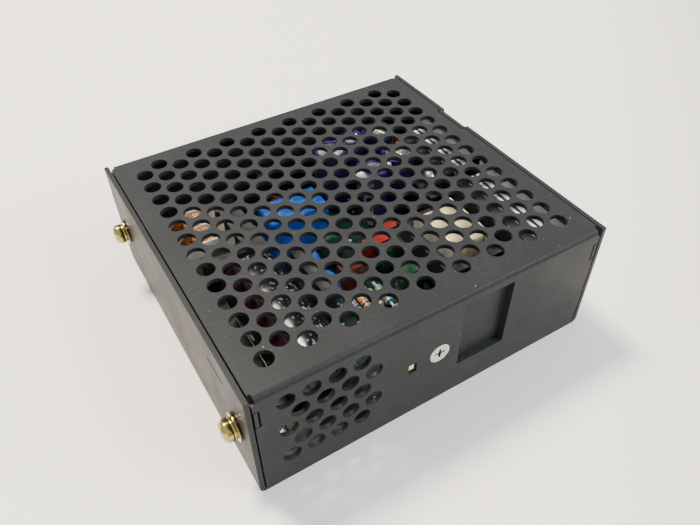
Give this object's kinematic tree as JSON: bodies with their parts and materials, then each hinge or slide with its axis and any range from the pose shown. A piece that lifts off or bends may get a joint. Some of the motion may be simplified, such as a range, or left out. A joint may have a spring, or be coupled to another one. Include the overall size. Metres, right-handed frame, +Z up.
{
  "type": "din rail power supply",
  "caption": "Slim vented sheet-metal power supply with a spring-latched rail foot, screw terminals, voltage trimmer, side screws and a populated board.",
  "frame": {"origin": "centre of the base, the broad side the case lies on", "axes": "+X along the front panel towards the wiring side, +Y from the front panel to the rail foot, +Z up through the vented cover"},
  "size_m": [0.1041, 0.0971, 0.034],
  "materials": {
    "dark_paint": "satin dark grey powder coat",
    "white_zinc": "white-finished screw",
    "bright_zinc": "bright zinc plate",
    "yellow_zinc": "yellow zinc passivate",
    "board_green": "solder mask on glass laminate",
    "clear_film": "polyester film",
    "black_nylon": "moulded nylon",
    "grey_nylon": "moulded nylon",
    "steel_spring": "drawn spring wire",
    "tin_plate": "tin plate",
    "ferrite": "sintered ferrite",
    "bobbin_nylon": "moulded nylon",
    "phenolic": "moulded phenolic",
    "copper_wire": "enamelled copper",
    "blue_case": "epoxy-filled case",
    "blue_epoxy": "dipped epoxy",
    "green_epoxy": "dipped epoxy",
    "fuse_glass": "glass",
    "can_aluminium": "etched aluminium",
    "black_sleeve": "shrunk sleeve",
    "violet_sleeve": "shrunk sleeve",
    "rubber_bung": "moulded rubber",
    "sink_aluminium": "mill finish",
    "epoxy_black": "moulded epoxy",
    "yellow_tape": "polyester tape",
    "iron_powder": "coated iron powder",
    "red_wire": "enamelled copper",
    "red_film": "dipped film capacitor",
    "resistor_body": "lacquer",
    "led_lens": "tinted epoxy",
    "trimmer_case": "moulded case",
    "trimmer_rotor": "moulded rotor"
  },
  "bodies": {
    "case": {"chassis": "dark_paint", "cover": "dark_paint", "front_screw": "white_zinc", "foot_screws": "bright_zinc", "insulation_sheet": "clear_film", "circuit_board": "board_green", "board_standoffs": "bright_zinc", "board_screws": "bright_zinc", "rail_foot": "black_nylon", "latch_spring": "steel_spring", "clinch_nuts": "bright_zinc", "terminal_block": "black_nylon", "terminal_plates": "tin_plate", "trimmer_body": "trimmer_case", "status_led": "led_lens", "led_holder": "black_nylon", "bulk_capacitor_can": "can_aluminium", "bulk_capacitor_sleeve": "black_sleeve", "bulk_capacitor_bung": "rubber_bung", "choke_core": "ferrite", "choke_bobbin": "bobbin_nylon", "choke_windings": "copper_wire", "line_capacitor": "blue_case", "safety_capacitors": "blue_epoxy", "fuse_tube": "fuse_glass", "fuse_caps": "tin_plate", "inrush_thermistor": "green_epoxy", "bridge_rectifier": "epoxy_black", "transformer_core": "ferrite", "transformer_bobbin": "phenolic", "transformer_windings": "yellow_tape", "input_heatsink": "sink_aluminium", "output_heatsink": "sink_aluminium", "power_semiconductors": "epoxy_black", "heatsink_screws": "bright_zinc", "inductor_core": "iron_powder", "inductor_winding": "red_wire", "output_capacitor_cans": "can_aluminium", "output_capacitor_sleeves": "violet_sleeve", "film_capacitors": "red_film", "resistors": "resistor_body", "control_chips": "epoxy_black"},
    "latch": {"rail_latch": "grey_nylon"},
    "trimmer": {"trimmer_rotor": "trimmer_rotor"},
    "side_washers_front": {"spring_washer_front": "yellow_zinc", "flat_washer_front": "yellow_zinc"},
    "side_screw_front": {"side_screw_front": "yellow_zinc"},
    "side_washers_rear": {"spring_washer_rear": "yellow_zinc", "flat_washer_rear": "yellow_zinc"},
    "side_screw_rear": {"side_screw_rear": "yellow_zinc"},
    "clamp_1": {"clamp_plate_1": "bright_zinc"},
    "terminal_1": {"terminal_screw_1": "bright_zinc"},
    "clamp_2": {"clamp_plate_2": "bright_zinc"},
    "terminal_2": {"terminal_screw_2": "bright_zinc"},
    "clamp_3": {"clamp_plate_3": "bright_zinc"},
    "terminal_3": {"terminal_screw_3": "bright_zinc"},
    "clamp_4": {"clamp_plate_4": "bright_zinc"},
    "terminal_4": {"terminal_screw_4": "bright_zinc"},
    "clamp_5": {"clamp_plate_5": "bright_zinc"},
    "terminal_5": {"terminal_screw_5": "bright_zinc"}
  },
  "joints": [
    {"name": "latch_pull", "type": "slide", "parent": "case", "child": "latch", "axis": [1, 0, 0], "range_m": [0, 0.0035], "stiffness_N_per_m": 600, "springref_m": -0.004, "deforming": ["latch_spring"]},
    {"name": "trimmer_turn", "type": "hinge", "parent": "case", "child": "trimmer", "pos_m": [0.0458, 0.0385, 0.00985], "axis": [1, 0, 0], "range_deg": [-135, 135]},
    {"name": "side_washers_front_slide", "type": "slide", "parent": "case", "child": "side_washers_front", "axis": [1, 0, 0], "range_m": [-0.004, 0.0003]},
    {"name": "side_screw_front_turn", "type": "hinge", "parent": "side_washers_front", "child": "side_screw_front", "pos_m": [-0.0497, -0.037, 0.017], "axis": [1, 0, 0], "range_deg": [-2890, 220]},
    {"name": "side_washers_rear_slide", "type": "slide", "parent": "case", "child": "side_washers_rear", "axis": [1, 0, 0], "range_m": [-0.004, 0.0003]},
    {"name": "side_screw_rear_turn", "type": "hinge", "parent": "side_washers_rear", "child": "side_screw_rear", "pos_m": [-0.0497, 0.037, 0.017], "axis": [1, 0, 0], "range_deg": [-2890, 220]},
    {"name": "clamp_1_slide", "type": "slide", "parent": "case", "child": "clamp_1", "axis": [1, 0, 0], "range_m": [0, 0.002]},
    {"name": "terminal_1_turn", "type": "hinge", "parent": "clamp_1", "child": "terminal_1", "pos_m": [0.0451, -0.0174, 0.014], "axis": [1, 0, 0], "range_deg": [0, 1450]},
    {"name": "clamp_2_slide", "type": "slide", "parent": "case", "child": "clamp_2", "axis": [1, 0, 0], "range_m": [0, 0.002]},
    {"name": "terminal_2_turn", "type": "hinge", "parent": "clamp_2", "child": "terminal_2", "pos_m": [0.0451, -0.0079, 0.014], "axis": [1, 0, 0], "range_deg": [0, 1450]},
    {"name": "clamp_3_slide", "type": "slide", "parent": "case", "child": "clamp_3", "axis": [1, 0, 0], "range_m": [0, 0.002]},
    {"name": "terminal_3_turn", "type": "hinge", "parent": "clamp_3", "child": "terminal_3", "pos_m": [0.0451, 0.0016, 0.014], "axis": [1, 0, 0], "range_deg": [0, 1450]},
    {"name": "clamp_4_slide", "type": "slide", "parent": "case", "child": "clamp_4", "axis": [1, 0, 0], "range_m": [0, 0.002]},
    {"name": "terminal_4_turn", "type": "hinge", "parent": "clamp_4", "child": "terminal_4", "pos_m": [0.0451, 0.0111, 0.014], "axis": [1, 0, 0], "range_deg": [0, 1450]},
    {"name": "clamp_5_slide", "type": "slide", "parent": "case", "child": "clamp_5", "axis": [1, 0, 0], "range_m": [0, 0.002]},
    {"name": "terminal_5_turn", "type": "hinge", "parent": "clamp_5", "child": "terminal_5", "pos_m": [0.0451, 0.0206, 0.014], "axis": [1, 0, 0], "range_deg": [0, 1450]}
  ],
  "couplings": [
    {"joint": "side_screw_front_turn", "follows": "side_washers_front_slide", "rad_per_m": 12566},
    {"joint": "side_screw_rear_turn", "follows": "side_washers_rear_slide", "rad_per_m": 12566},
    {"joint": "terminal_1_turn", "follows": "clamp_1_slide", "rad_per_m": 12566},
    {"joint": "terminal_2_turn", "follows": "clamp_2_slide", "rad_per_m": 12566},
    {"joint": "terminal_3_turn", "follows": "clamp_3_slide", "rad_per_m": 12566},
    {"joint": "terminal_4_turn", "follows": "clamp_4_slide", "rad_per_m": 12566},
    {"joint": "terminal_5_turn", "follows": "clamp_5_slide", "rad_per_m": 12566}
  ]
}
